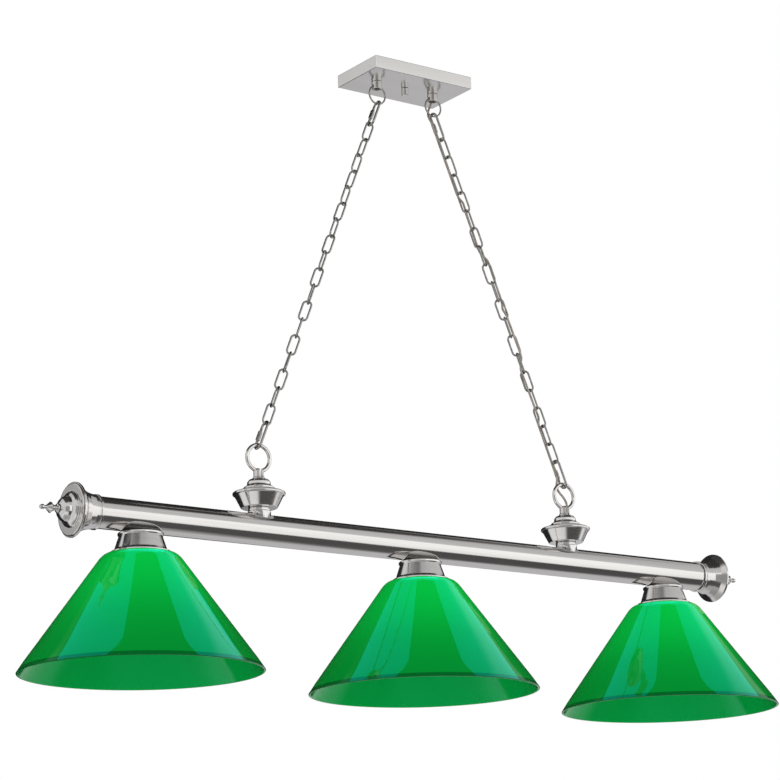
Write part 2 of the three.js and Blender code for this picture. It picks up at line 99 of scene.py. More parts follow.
SENSOR_WIDTH, CAMERA_LENS = 36, 120.8
CAMERA_PLACE = Vector((-2.3847, -3.2281, -1.5502))
CAMERA_YAW, CAMERA_PITCH, CAMERA_ROLL = (math.radians(a) for a in (35.9, 14.3, -1.7))
AHEAD = Vector((math.sin(CAMERA_YAW), math.cos(CAMERA_YAW), 0))
ACROSS = Vector((math.cos(CAMERA_YAW), -math.sin(CAMERA_YAW), 0))
UP = Vector((0, 0, 1))


def add_camera():
    forward = AHEAD * math.cos(CAMERA_PITCH) + UP * math.sin(CAMERA_PITCH)
    above = ACROSS.cross(forward)
    right = ACROSS * math.cos(CAMERA_ROLL) + above * math.sin(CAMERA_ROLL)
    upward = above * math.cos(CAMERA_ROLL) - ACROSS * math.sin(CAMERA_ROLL)
    data = bpy.data.cameras.new("camera")
    data.sensor_width = SENSOR_WIDTH
    data.lens = CAMERA_LENS
    camera = bpy.data.objects.new("camera", data)
    bpy.context.scene.collection.objects.link(camera)
    turn = Matrix((right, upward, -forward)).transposed().to_4x4()
    camera.matrix_world = Matrix.Translation(CAMERA_PLACE) @ turn
    bpy.context.scene.camera = camera


class Graph:
    """A short way to add shader nodes and join them."""

    def __init__(self, tree):
        self.tree = tree

    def node(self, kind, inputs=None, **settings):
        made = self.tree.nodes.new(kind)
        for key, value in settings.items():
            setattr(made, key, value)
        for key, value in (inputs or {}).items():
            self.feed(made.inputs[key], value)
        return made

    def feed(self, socket, value):
        if isinstance(value, bpy.types.NodeSocket):
            self.tree.links.new(value, socket)
        else:
            socket.default_value = value

    def sums(self, operation, a, b=0.0, clamp=False):
        return self.node("ShaderNodeMath", {0: a, 1: b}, operation=operation, use_clamp=clamp).outputs[0]

    def along(self, vector, axis):
        return self.node("ShaderNodeVectorMath", {0: vector, 1: axis},
            operation="DOT_PRODUCT").outputs["Value"]

    def step(self, value, start, end):
        """0 before start, 1 after end, smooth between them."""
        inputs = {"Value": value, "From Min": start, "From Max": end}
        return self.node("ShaderNodeMapRange", inputs, interpolation_type="SMOOTHSTEP").outputs["Result"]

    def mix(self, factor, a, b):
        made = self.node("ShaderNodeMix", data_type="RGBA")
        self.feed(made.inputs["Factor"], factor)
        self.feed(made.inputs["A"], a)
        self.feed(made.inputs["B"], b)
        return made.outputs["Result"]

    def ramp(self, factor, stops, smooth="LINEAR"):
        made = self.node("ShaderNodeValToRGB", {"Fac": factor})
        made.color_ramp.interpolation = smooth
        elements = made.color_ramp.elements
        while len(elements) < len(stops):
            elements.new(0.5)
        for element, (place, colour) in zip(elements, stops):
            element.position = place
            element.color = colour if isinstance(colour, tuple) else (colour, colour, colour, 1)
        return made.outputs["Color"]

    def noise(self, vector, scale, detail=3.0, roughness=0.55):
        inputs = {"Vector": vector, "Scale": scale, "Detail": detail, "Roughness": roughness}
        return self.node("ShaderNodeTexNoise", inputs).outputs["Fac"]


def studio_world():
    """White to look at. Lights mostly from the front, and gives reflections bright sides and a dark back."""
    world = bpy.data.worlds.new("studio")
    bpy.context.scene.world = world
    world.use_nodes = True
    g = Graph(world.node_tree)
    world.node_tree.nodes.clear()
    direction = g.node("ShaderNodeTexCoord").outputs["Generated"]
    height = g.along(direction, (0, 0, 1))
    ahead = g.along(direction, AHEAD)
    right = g.along(direction, ACROSS)
    upright = g.sums("MULTIPLY_ADD", height, 0.5)
    upright.node.inputs[2].default_value = 0.5
    side = g.ramp(upright, [
        (0.0, 0.42), (0.06, 0.42), (0.09, 0.09), (0.28, 0.075), (0.31, 1.0), (0.66, 1.15), (0.69, 0.62),
        (0.87, 0.55), (0.90, 0.03), (1.0, 0.02),
    ])
    left_side = g.ramp(upright, [
        (0.0, 0.30), (0.12, 0.40), (0.16, 0.85), (0.30, 0.85), (0.34, 0.70), (0.80, 0.74), (0.88, 0.04),
        (1.0, 0.03),
    ])
    sides = g.mix(g.step(right, -0.15, 0.15), left_side, side)
    front = g.sums("MULTIPLY", g.step(ahead, -0.75, -0.9), g.step(height, 0.35, 0.15))
    sides = g.mix(front, sides, (0.30, 0.30, 0.30, 1))
    behind = g.along(direction, tuple(AHEAD * 0.94 - ACROSS * 0.22 + UP * 0.25))
    low_left = g.along(direction, tuple(AHEAD * 0.77 - ACROSS * 0.60 - UP * 0.20))
    dark = g.sums("MULTIPLY", g.step(behind, 0.60, 0.70), g.step(height, -0.14, -0.04))
    dark = g.sums("MAXIMUM", dark, g.step(low_left, 0.80, 0.85))
    low_behind = g.sums("MULTIPLY", g.step(ahead, 0.25, 0.5), g.step(height, 0.0, -0.12))
    studio = g.mix(low_behind, sides, (0.56, 0.56, 0.58, 1))
    studio = g.mix(dark, studio, (0.012, 0.012, 0.013, 1))
    front_light = g.sums("MULTIPLY_ADD", g.step(ahead, 0.15, -0.85), 0.75)
    front_light.node.inputs[2].default_value = 0.45
    soft = g.sums("MAXIMUM", front_light, g.step(height, 0.55, 0.85))
    rays = g.node("ShaderNodeLightPath").outputs
    seen = g.mix(rays["Is Diffuse Ray"], (1, 1, 1, 1), soft)
    seen = g.mix(rays["Is Glossy Ray"], seen, studio)
    background = g.node("ShaderNodeBackground", {"Color": seen, "Strength": 1.0})
    g.node("ShaderNodeOutputWorld", {"Surface": background.outputs[0]})


def add_floor():
    half, level = 16, -7.0
    mesh = bpy.data.meshes.new("floor")
    corners = [(x * half, y * half, level) for x, y in ((-1, -1), (1, -1), (1, 1), (-1, 1))]
    mesh.from_pydata(corners, [], [(0, 1, 2, 3)])
    floor = bpy.data.objects.new("floor", mesh)
    bpy.context.scene.collection.objects.link(floor)
    material = bpy.data.materials.new("pale_floor")
    material.use_nodes = True
    shader = material.node_tree.nodes["Principled BSDF"]
    g = Graph(material.node_tree)
    place = g.node("ShaderNodeTexCoord").outputs["Object"]
    tone = g.ramp(g.noise(place, 1.5), [(0.3, 0.90), (0.7, 0.93)])
    g.feed(shader.inputs["Base Color"], tone)
    shader.inputs["Roughness"].default_value = 0.9
    mesh.materials.append(material)
    floor.visible_glossy = False


def soft_box(name, toward, along, width, height, radiance, receivers):
    """A rectangular light far out in one direction, which lights only the pieces in receivers."""
    toward = toward.normalized()
    along = (along - toward * along.dot(toward)).normalized()
    distance = 5.0
    data = bpy.data.lights.new(name, "AREA")
    data.shape = "RECTANGLE"
    data.size = 2 * distance * math.tan(width / 2)
    data.size_y = 2 * distance * math.tan(height / 2)
    data.energy = radiance * math.pi * data.size * data.size_y
    data.color = (0.03, 0.65, 0.75)
    light = bpy.data.objects.new(name, data)
    bpy.context.scene.collection.objects.link(light)
    turn = Matrix((along, toward.cross(along), toward)).transposed().to_4x4()
    light.matrix_world = Matrix.Translation(toward * distance + Vector((0, 0, BAR_BOTTOM * MM))) @ turn
    light.visible_camera = False
    light.visible_transmission = False
    light.light_linking.receiver_collection = receivers
    light.light_linking.blocker_collection = receivers


def studio_direction(ahead, across, up):
    return AHEAD * ahead + ACROSS * across + UP * up


def add_lights(shades):
    glass = bpy.data.collections.new("shade_receivers")
    for shade in shades:
        glass.objects.link(shade)
    soft_box("left_soft_box", studio_direction(0.14, -0.293, 0.951), studio_direction(-0.79, 0.48, 0.37),
             math.radians(38), math.radians(78), 2.2, glass)
    soft_box("right_soft_box", studio_direction(0.367, 0.368, 0.854), studio_direction(0.87, 0.19, -0.46),
             math.radians(44), math.radians(78), 2.2, glass)


# ---------------------------------------------------------------- materials

NICKEL = ((0.72, 0.70, 0.685, 1), (0.84, 0.82, 0.80, 1))
SATIN = ((0.74, 0.72, 0.70, 1), (0.80, 0.78, 0.76, 1))
# A darker copy of the nickel tones for the chain, rings and quick links: painted shade.
SHADED_NICKEL = ((0.30, 0.29, 0.28, 1), (0.50, 0.49, 0.47, 1))
STEEL = ((0.42, 0.43, 0.44, 1), (0.58, 0.59, 0.60, 1))
BRASS = ((0.62, 0.45, 0.18, 1), (0.80, 0.62, 0.30, 1))


def new_material(name):
    material = bpy.data.materials.new(name)
    material.use_nodes = True
    return material, Graph(material.node_tree), material.node_tree.nodes["Principled BSDF"]


def object_place(g):
    return g.node("ShaderNodeTexCoord").outputs["Object"]


def stretched(g, vector, scale):
    return g.node("ShaderNodeMapping", {"Vector": vector, "Scale": scale}, vector_type="POINT").outputs[0]


def round_place(g):
    """Coordinates of a turned piece: the radius, the height, and a little of the way round."""
    place = object_place(g)
    split = g.node("ShaderNodeSeparateXYZ", {0: place})
    x, y, z = split.outputs
    radius = g.sums("SQRT", g.sums("ADD", g.sums("MULTIPLY", x, x), g.sums("MULTIPLY", y, y)))
    around = g.sums("DIVIDE", x, g.sums("MAXIMUM", radius, 0.001))
    return g.node("ShaderNodeCombineXYZ", {0: radius, 1: z, 2: g.sums("MULTIPLY", around, 0.0012)}).outputs[0]


def metal(name, tones, lines, smudge, roughness, bump=0.0, anisotropy=0.0, turned=False):
    """Metal whose fine lines come from the vector lines, with slow changes of tone from the vector smudge."""
    material, g, shader = new_material(name)
    grain = g.noise(lines(g), 1.0, 4.0, 0.65)
    cloud = g.noise(smudge(g), 1.0, 2.0)
    tone = g.sums("ADD", g.sums("MULTIPLY", grain, 0.7), g.sums("MULTIPLY", cloud, 0.3))
    g.feed(shader.inputs["Base Color"], g.ramp(tone, [(0.36, tones[0]), (0.64, tones[1])]))
    low, high = roughness
    g.feed(shader.inputs["Roughness"], g.ramp(grain, [(0.3, low), (0.7, high)]))
    shader.inputs["Metallic"].default_value = 1.0
    if bump:
        made = g.node("ShaderNodeBump", {"Height": grain, "Strength": bump, "Distance": 0.0002})
        g.feed(shader.inputs["Normal"], made.outputs[0])
    if anisotropy:
        shader.inputs["Anisotropic"].default_value = anisotropy
        shader.inputs["Anisotropic Rotation"].default_value = 0.25 if turned else 0.0
        tangent = g.node("ShaderNodeTangent", direction_type="RADIAL", axis="Z").outputs[0]
        g.feed(shader.inputs["Tangent"], tangent)
    return material


def nickel_turned():
    """Nickel brushed round and round on a lathe."""
    return metal(
        "nickel_turned", NICKEL, lambda g: stretched(g, round_place(g), (2600, 2600, 2600)),
        lambda g: stretched(g, round_place(g), (180, 180, 900)), (0.11, 0.19), 0.05, 0.4, True,
    )


def nickel_drawn():
    """Nickel brushed along the length of the bar, which is the piece's own Z."""
    return metal(
        "nickel_drawn", NICKEL, lambda g: stretched(g, object_place(g), (1500, 1500, 7)),
        lambda g: stretched(g, object_place(g), (160, 160, 2.5)), (0.09, 0.15), 0.04,
    )


def nickel_sheet():
    """Nickel sheet brushed along X."""
    return metal(
        "nickel_sheet", SATIN, lambda g: stretched(g, object_place(g), (14, 2600, 2600)),
        lambda g: stretched(g, object_place(g), (6, 40, 40)), (0.16, 0.22),
    )


def nickel_wire():
    """Plated wire, nearly smooth, with faint draw marks and duller patches, in a darker copy of the nickel
    tones: painted shade.
    """
    return metal(
        "nickel_wire", SHADED_NICKEL, lambda g: stretched(g, object_place(g), (900, 900, 300)),
        lambda g: stretched(g, object_place(g), (90, 90, 60)), (0.04, 0.11), 0.03,
    )


def nickel_cast():
    """The lower loops: plated castings, smooth and bright, with faint pits."""
    return metal(
        "nickel_cast", NICKEL, lambda g: stretched(g, object_place(g), (700, 700, 700)),
        lambda g: stretched(g, object_place(g), (80, 80, 80)), (0.04, 0.09), 0.03,
    )


def plain_metal(name, tones, roughness):
    return metal(
        name, tones, lambda g: stretched(g, object_place(g), (700, 700, 700)),
        lambda g: stretched(g, object_place(g), (60, 60, 60)), roughness, 0.15,
    )


def green_glass():
    """Green glass with a glossy face. Its colour carries painted light: lighter towards the fitter, painted
    lighter on the inside faces, and a painted dark line along the rim.
    """
    material, g, shader = new_material("green_glass")
    coordinates = g.node("ShaderNodeTexCoord").outputs
    place = coordinates["Object"]
    height = g.node("ShaderNodeSeparateXYZ", {0: place}).outputs["Z"]
    wander = g.sums("MULTIPLY", g.noise(place, 7.0, 2.0), 0.012)
    level = g.step(g.sums("ADD", height, wander), -0.2, -0.02)
    # Painted light: the glass is painted lighter towards the top and darker towards the rim, standing in for
    # light coming through the glass.
    body = g.ramp(level, [
        (0.0, (0.0012, 0.24, 0.026, 1)), (0.35, (0.0012, 0.31, 0.032, 1)), (1.0, (0.0015, 0.50, 0.052, 1)),
    ])
    # Painted shade: a dark line painted round the last few millimetres above the rim.
    outside = g.sums("MULTIPLY", g.step(height, -0.1970, -0.1985), 0.75)
    body = g.mix(outside, body, (0.001, 0.07, 0.012, 1))
    # Painted light: faces turned towards the axis get lighter inner colours, as if lit by light through the
    # glass.
    facing = g.along(coordinates["Normal"], g.node("ShaderNodeVectorMath", {0: place, 1: (1, 1, 0)},
                                                   operation="MULTIPLY").outputs[0])
    inner = g.ramp(level, [(0.0, (0.0015, 0.40, 0.065, 1)), (1.0, (0.0015, 0.50, 0.075, 1))])
    g.feed(shader.inputs["Base Color"], g.mix(g.step(facing, 0.0, -0.004), body, inner))
    g.feed(shader.inputs["Roughness"], g.ramp(g.noise(place, 60.0), [(0.3, 0.02), (0.7, 0.05)]))
    shader.inputs["IOR"].default_value = 1.5
    shader.inputs["Specular Tint"].default_value = (0.10, 1.0, 0.85, 1)
    shader.inputs["Transmission Weight"].default_value = 0.08
    return material


def phenolic():
    material, g, shader = new_material("phenolic")
    speck = g.noise(object_place(g), 900.0, 4.0)
    g.feed(shader.inputs["Base Color"], g.ramp(speck, [(0.35, 0.010), (0.65, 0.022)]))
    g.feed(shader.inputs["Roughness"], g.ramp(g.noise(object_place(g), 120.0), [(0.3, 0.30), (0.7, 0.48)]))
    made = g.node("ShaderNodeBump", {"Height": speck, "Strength": 0.12, "Distance": 0.0002})
    g.feed(shader.inputs["Normal"], made.outputs[0])
    return material


def clear_cord():
    """Clear jacket over one copper and one tinned conductor, twisted round each other."""
    material, g, shader = new_material("clear_cord")
    uv = g.node("ShaderNodeSeparateXYZ", {0: g.node("ShaderNodeUVMap", uv_map="along").outputs[0]})
    turn = g.sums("ADD", g.sums("MULTIPLY", uv.outputs["X"], 34.0), uv.outputs["Y"])
    wave = g.sums("SINE", g.sums("MULTIPLY", turn, 2 * math.pi))
    strand = g.sums("SINE", g.sums("MULTIPLY", turn, 28 * math.pi))
    conductors = g.mix(g.step(wave, -0.25, 0.25), (0.46, 0.38, 0.30, 1), (0.58, 0.57, 0.55, 1))
    # Painted shade: the colour darkens into the grooves between the strands, where the bump is low.
    shade = g.mix(g.step(strand, -1.0, 1.0), (0.16, 0.13, 0.10, 1), conductors)
    g.feed(shader.inputs["Base Color"], shade)
    made = g.node("ShaderNodeBump", {"Height": strand, "Strength": 0.3, "Distance": 0.0002})
    g.feed(shader.inputs["Normal"], made.outputs[0])
    g.feed(shader.inputs["Roughness"], g.ramp(g.noise(object_place(g), 300.0), [(0.3, 0.28), (0.7, 0.40)]))
    shader.inputs["Metallic"].default_value = 0.35
    shader.inputs["Coat Weight"].default_value = 1.0
    shader.inputs["Coat Roughness"].default_value = 0.08
    return material


def wire_insulation():
    material, g, shader = new_material("wire_insulation")
    tone = g.noise(object_place(g), 200.0)
    g.feed(shader.inputs["Base Color"], g.ramp(tone, [(0.3, (0.66, 0.65, 0.60, 1)),
        (0.7, (0.76, 0.75, 0.70, 1))]))
    g.feed(shader.inputs["Roughness"], g.ramp(tone, [(0.3, 0.42), (0.7, 0.55)]))
    return material


MATERIALS = {
    "turned": nickel_turned(),
    "drawn": nickel_drawn(),
    "sheet": nickel_sheet(),
    "wire": nickel_wire(),
    "bright_wire": nickel_cast(),
    "steel": plain_metal("zinc_steel", STEEL, (0.32, 0.5)),
    "brass": plain_metal("brass", BRASS, (0.2, 0.36)),
    "green_screw": plain_metal("green_screw", ((0.02, 0.16, 0.05, 1), (0.03, 0.24, 0.08, 1)), (0.3, 0.45)),
    "glass": green_glass(),
    "phenolic": phenolic(),
    "cord": clear_cord(),
    "insulation": wire_insulation(),
}


# ---------------------------------------------------------------- mesh helpers

def mesh_object(name, bm):
    bmesh.ops.recalc_face_normals(bm, faces=bm.faces[:])
    mesh = bpy.data.meshes.new(name)
    bm.to_mesh(mesh)
    bm.free()
    mesh.shade_smooth()
    made = bpy.data.objects.new(name, mesh)
    bpy.context.scene.collection.objects.link(made)
    return made


def finish_piece(piece, body, finish, nodes=(), place=None, weighted=True):
    """Gives a piece its material, its place and the body that it rides on."""
    piece.data.materials.clear()
    piece.data.materials.append(MATERIALS[finish])
    if weighted:
        even = piece.modifiers.new("even_normals", "WEIGHTED_NORMAL")
        even.weight = 100
    if place is not None:
        piece.matrix_world = place
    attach(piece, body)
    if nodes:
        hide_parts(*nodes)
    return piece


def at(x, y, z, turn=None):
    place = Matrix.Translation((x * MM, y * MM, z * MM))
    return place @ turn if turn is not None else place


def filleted(corners, closed=True, radius=0.5, steps=4):
    """A profile of (r, z) or (r, z, own radius) corners with each corner rounded."""
    points = []
    for i, corner in enumerate(corners):
        here = Vector(corner[:2])
        size = corner[2] if len(corner) > 2 else radius
        if size == 0 or (not closed and i in (0, len(corners) - 1)):
            points.append(here)
            continue
        before = Vector(corners[i - 1][:2]) - here
        after = Vector(corners[(i + 1) % len(corners)][:2]) - here
        reach = size / math.tan(max(before.angle(after), 0.2) / 2)
        start = here + before.normalized() * min(reach, 0.45 * before.length)
        end = here + after.normalized() * min(reach, 0.45 * after.length)
        for k in range(steps + 1):
            t = k / steps
            points.append(start * (1 - t) ** 2 + here * 2 * t * (1 - t) + end * t * t)
    return points


def lathe(name, profile, steps=96, closed=True, reach=None):
    """A piece turned about Z. reach(angle, r, z) may return another radius, for threads and ribs."""
    bm = bmesh.new()
    rings = []
    for r, z in profile:
        if r < 1e-6:
            rings.append([bm.verts.new((0, 0, z * MM))])
            continue
        ring = []
        for i in range(steps):
            angle = 2 * math.pi * i / steps
            radius = (reach(angle, r, z) if reach else r) * MM
            ring.append(bm.verts.new((radius * math.cos(angle), radius * math.sin(angle), z * MM)))
        rings.append(ring)
    bands = list(zip(rings, rings[1:]))
    if closed:
        bands.append((rings[-1], rings[0]))
    for low, high in bands:
        if len(low) == 1 and len(high) == 1:
            continue
        for i in range(steps):
            j = (i + 1) % steps
            corners = [low[i % len(low)], low[j % len(low)], high[j % len(high)], high[i % len(high)]]
            bm.faces.new(list(dict.fromkeys(corners)))
    return mesh_object(name, bm)


def tube_along(name, points, radius, sides=16, closed=False, uv=False, normal=None):
    """A round tube through points in mm. A flat path may give the normal of its plane."""
    points = [Vector(p) for p in points]
    count = len(points)
    bm = bmesh.new()
    rings = []
    side = None
    for i, point in enumerate(points):
        before = points[i - 1] if closed or i else points[0]
        after = points[(i + 1) % count] if closed or i < count - 1 else points[-1]
        ahead = (after - before).normalized()
        if normal is not None:
            side = Vector(normal).cross(ahead).normalized()
        elif side is None:
            side = ahead.orthogonal().normalized()
        else:
            side = (side - ahead * side.dot(ahead)).normalized()
        up = ahead.cross(side)
        rings.append([
            bm.verts.new((point + (side * math.cos(a) + up * math.sin(a)) * radius) * MM)
            for a in (2 * math.pi * k / sides for k in range(sides))
        ])
    layer = bm.loops.layers.uv.new("along") if uv else None
    run = 0.0
    for i in range(count if closed else count - 1):
        low, high = rings[i], rings[(i + 1) % count]
        length = (points[(i + 1) % count] - points[i]).length * MM
        for k in range(sides):
            m = (k + 1) % sides
            face = bm.faces.new([low[k], low[m], high[m], high[k]])
            if layer:
                spots = ((run, k), (run, k + 1), (run + length, k + 1), (run + length, k))
                for loop, (u, v) in zip(face.loops, spots):
                    loop[layer].uv = (u, v / sides)
        run += length
    if not closed:
        bm.faces.new(list(reversed(rings[0])))
        bm.faces.new(rings[-1])
    return mesh_object(name, bm)


def box_piece(name, size, centre=(0, 0, 0), bevel=0.3, segments=3):
    """A block with rounded edges, in mm."""
    bm = bmesh.new()
    bmesh.ops.create_cube(bm, size=1)
    bmesh.ops.scale(bm, vec=[s * MM for s in size], verts=bm.verts[:])
    bmesh.ops.translate(bm, vec=[c * MM for c in centre], verts=bm.verts[:])
    bmesh.ops.bevel(bm, geom=bm.edges[:], offset=bevel * MM, segments=segments, profile=0.5, affect="EDGES")
    return mesh_object(name, bm)


def combine(piece, other, operation):
    """Joins another closed piece to this one, or cuts it out, and removes the other."""
    step = piece.modifiers.new("combine", "BOOLEAN")
    step.object = other
    step.operation = operation
    step.solver = "EXACT"
    bpy.context.view_layer.update()
    graph = bpy.context.evaluated_depsgraph_get()
    mesh = bpy.data.meshes.new_from_object(piece.evaluated_get(graph), depsgraph=graph)
    piece.modifiers.clear()
    piece.data = mesh
    bpy.data.objects.remove(other)
    return piece


def cut(piece, other):
    return combine(piece, other, "DIFFERENCE")


def join(piece, other):
    return combine(piece, other, "UNION")


def placed(piece, place):
    piece.data.transform(place)
    return piece


def sharpen(piece, degrees=35):
    piece.data.set_sharp_from_angle(angle=math.radians(degrees))
    return piece


# ---------------------------------------------------------------- power cord

def is_quick(index):
    return index in (0, LINK_COUNT - 1)


def inner_length(index):
    return PITCH * QUICK_RATIO if is_quick(index) else PITCH


def link_centres():
    centres = []
    top = -RING_WIRE - RING_GAP
    for i in range(LINK_COUNT):
        centres.append(top + inner_length(i) / 2)
        top += inner_length(i) - (QUICK_GAP if is_quick(i) or is_quick(i + 1) else 0)
    return centres


LINK_CENTRES = link_centres()
EVEN_PASSES, ODD_PASSES = (4, 10, 16), (7, 13)
CORD_OFFSET = 4.4


def link_number(distance):
    following = next((i for i, c in enumerate(LINK_CENTRES) if c > distance), None)
    if following is None:
        return LINK_COUNT - 1
    if following == 0:
        return 0
    low, high = LINK_CENTRES[following - 1], LINK_CENTRES[following]
    return following - 1 + (distance - low) / (high - low)


def weave_side(start, passes, distance):
    side = start
    for index in passes:
        reach = min(max((distance - LINK_CENTRES[index]) / 26 + 0.5, 0), 1)
        side *= math.cos(math.pi * reach)
    return side


def weave_dip(passes, distance):
    return max(math.exp(-(((distance - LINK_CENTRES[index]) / 8) ** 2)) for index in passes)


def chain_place(side):
    return at(side * CHAIN_TOP.x, 0, CHAIN_TOP.z, Matrix.Rotation(-side * CHAIN_LEAN, 4, "Y"))


def cord_on_chain(distance):
    even = CORD_OFFSET * weave_side(-1, EVEN_PASSES, distance) * (1 - 0.55 * weave_dip(ODD_PASSES, distance))
    odd = CORD_OFFSET * weave_side(1, ODD_PASSES, distance) * (1 - 0.55 * weave_dip(EVEN_PASSES, distance))
    twist = link_number(distance) * TWIST_STEP
    local = Vector((
        even * math.cos(twist) - odd * math.sin(twist),
        even * math.sin(twist) + odd * math.cos(twist),
        -distance,
    ))
    return (chain_place(1) @ (local * MM)) / MM


def cord_route():
    """The route's points from the ceiling box, down the right chain, into the bar."""
    x, hx, base = LOOP_X, HOLDER_X, BAR_TOP
    into_canopy = [
        (14, 29, -8), (32, 26, -7), (46, 16, -6.8), (x - 3, 8, -8.2), (x - 0.6, 3.2, -12), (x, 0.9, -17),
        (x, 0.9, -22.4), (x, 4, -28), (x - 0.2, 4.1, -33.4), (x - 3.2, 4.7, -42), (x - 6.6, 5, -51),
        (x - 6.4, 4.8, -58.8),
    ]
    first, last, steps = 10, LINK_CENTRES[-1] + 4, 66
    run = [cord_on_chain(first + (last - first) * i / steps) for i in range(steps + 1)]
    into_bar = [
        (hx - 9.8, 5.5, base + 105), (hx - 9.2, 5.5, base + 100), (hx - 7.2, 2.6, base + 92.5),
        (hx - 4.4, -2.4, base + 85), (hx - 1.6, -5.8, base + 77), (hx, -6.6, base + 69),
        (hx, -6.6, base + 54),
        (hx, -6.6, base + 41), (hx, -8.5, base + 22), (hx, -10, base + 8), (hx, -10, base - 6),
        (hx + 1.5, -9.6, base - 11), (hx + 6, -8, base - 16.5), (hx + 13, -4, base - 18.5),
        (hx + 20, -2, base - 18.5), (hx + 27.7, -2, base - 18.5),
    ]
    return [Vector(p) for p in into_canopy] + run + [Vector(p) for p in into_bar]


def smooth_curve(points, steps):
    """Catmull-Rom points through the given ones."""
    padded = [2 * points[0] - points[1]] + points + [2 * points[-1] - points[-2]]
    out = []
    for i in range(len(points) - 1):
        a, b, c, d = padded[i:i + 4]
        for k in range(steps):
            t = k / steps
            out.append(0.5 * (2 * b + (c - a) * t + (2 * a - 5 * b + 4 * c - d) * t * t
                              + (3 * b - a - 3 * c + d) * t ** 3))
    return out + [points[-1]]


def nearest(points, spot):
    return min(range(len(points)), key=lambda i: (points[i] - spot).length)


def power_cord():
    """One cord in five stretches, cut near each place where one body hangs on the next."""
    points = smooth_curve(cord_route(), 4)
    last_link_top = LINK_CENTRES[-1] - inner_length(LINK_COUNT - 1) / 2
    quick_top = chain_place(1) @ Vector((0, 0, -last_link_top * MM)) / MM
    down = (CHAIN_BOTTOM - CHAIN_TOP).normalized()
    cuts = [
        0,
        nearest(points, Vector((LOOP_X - 3.2, 4.7, RING_PIVOT_Z - 14.4))),
        nearest(points, CHAIN_TOP + down * 30),
        nearest(points, quick_top - down * 14),
        nearest(points, (quick_top + CHAIN_BOTTOM) / 2),
        len(points) - 1,
    ]
    pivot = Vector((LOOP_X, 0, RING_PIVOT_Z))
    middle_link = (quick_top + CHAIN_BOTTOM) / 2
    bends = [
        ("cord_canopy", "canopy_assembly", "top_rings", pivot + UP * 6, pivot - UP * 10),
        ("cord_ring", "top_rings", "right_chain", CHAIN_TOP + UP * 8, CHAIN_TOP + down * 22),
        ("cord_run", None, "right_chain", None, None),
        ("cord_link", "right_chain", "right_lower_link", quick_top - down * 12, quick_top + down * 12),
        ("cord_bar", "right_lower_link", "bar", middle_link + down * 4, CHAIN_BOTTOM - UP * 26),
    ]
    for (name, upper, lower, start, end), first, last in zip(bends, cuts, cuts[1:]):
        stretch = tube_along(name, points[first:last + 1], CORD_RADIUS, 16, uv=True)
        finish_piece(stretch, lower, "cord", ["power_cord"] if upper is None else (), weighted=False)
        if upper is not None:
            stretch.parent = None
            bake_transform(stretch)


# ---------------------------------------------------------------- ceiling canopy

def canopy_pan():
    """A folded sheet pan: rounded folds along the bottom, open seams up the four corners."""
    length, width, depth = PAN_SIZE
    pan = box_piece("canopy_pan", (length, width, depth), (0, 0, -depth / 2), 1.1, 4)
    inner = box_piece("inner", (length - 2.4, width - 2.4, depth), (0, 0, 1.2 - depth / 2), 0.5)
    cut(pan, inner)
    for x, y in ((1, 1), (1, -1), (-1, 1), (-1, -1)):
        seam = box_piece("seam", (0.9, 5, depth), (0, 0, 0), 0.05, 1)
        turn = Matrix.Rotation(math.radians(-45 * x * y), 4, "Z")
        placed(seam, at(x * (length / 2 - 1), y * (width / 2 - 1), 1.6 - depth / 2, turn))
        cut(pan, seam)
    for x, radius in ((-LOOP_X, 5.3), (0, 3.5), (LOOP_X, 5.3)):
        hole = lathe("hole", [(0, -depth - 5), (radius, -depth - 5), (radius, -depth + 5), (0, -depth + 5)],
                     40, False)
        cut(pan, placed(hole, at(x, 0, 0)))
    finish_piece(sharpen(pan), "canopy_assembly", "sheet", ["canopy"])


def mounting_strap():
    """A steel strap with rounded ends, two long slots and pressed edges."""
    low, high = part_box("mounting_strap")
    size = (high - low) / MM
    centre = (0, 0, -size.z / 2)
    strap = box_piece("mounting_strap_plate", size, centre, 0.5, 3)
    for side in (-1, 1):
        slot = box_piece("slot", (23, 5, 9), (side * 31, 0, -1.5), 0.1, 1)
        for end in (-1, 1):
            rounding = lathe("rounding", [(0, -6), (2.5, -6), (2.5, 3), (0, 3)], 24, False)
            join(slot, placed(rounding, at(side * 31 + end * 11.5, 0, 0)))
        cut(strap, slot)
    finish_piece(sharpen(strap), "canopy_assembly", "steel", ["mounting_strap"])


def ground_screw():
    """A green hex-head ground screw with a washer face and a driver slot."""
    low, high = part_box("ground_screw")
    x, top, bottom = (low.x + high.x) / 2 / MM, high.z / MM, low.z / MM
    head = lathe("ground_screw_head", filleted([(0, bottom), (3.0, bottom), (3.3, bottom + 0.5), (3.3, -3.9),
                                                (0, -3.9)], False, 0.15), 6, False)
    washer = lathe("washer", filleted([(0, -4), (3.4, -4), (3.4, -3.4), (0, -3.4)], False, 0.15), 40, False)
    shank = lathe("shank", [(0, -3.6), (2, -3.6), (2, top), (0, top)], 32, False)
    join(join(head, washer), shank)
    cut(head, box_piece("driver", (8, 0.9, 1.6), (0, 0, bottom), 0.05, 1))
    finish_piece(sharpen(head, 30), "canopy_assembly", "green_screw", ["ground_screw"], at(x, 0, 0))


def threaded(radius, depth, pitch, start, end):
    """A radius with a screw thread between two heights."""
    def reach(angle, r, z):
        if r < radius - 1e-6 or not start <= z <= end:
            return r
        return r - depth * (0.5 + 0.5 * math.cos(angle + 2 * math.pi * z / pitch))
    return reach


def threaded_profile(radius, bore, bottom, top, step):
    """An outside wall with enough points for a thread, and a bore when it is above 0."""
    count = max(2, round((top - bottom) / step))
    wall = [(radius, bottom + (top - bottom) * i / count) for i in range(count + 1)]
    inside = [(bore, top), (bore, bottom)]
    return wall + inside if bore else [(0, bottom)] + wall + [(0, top)]


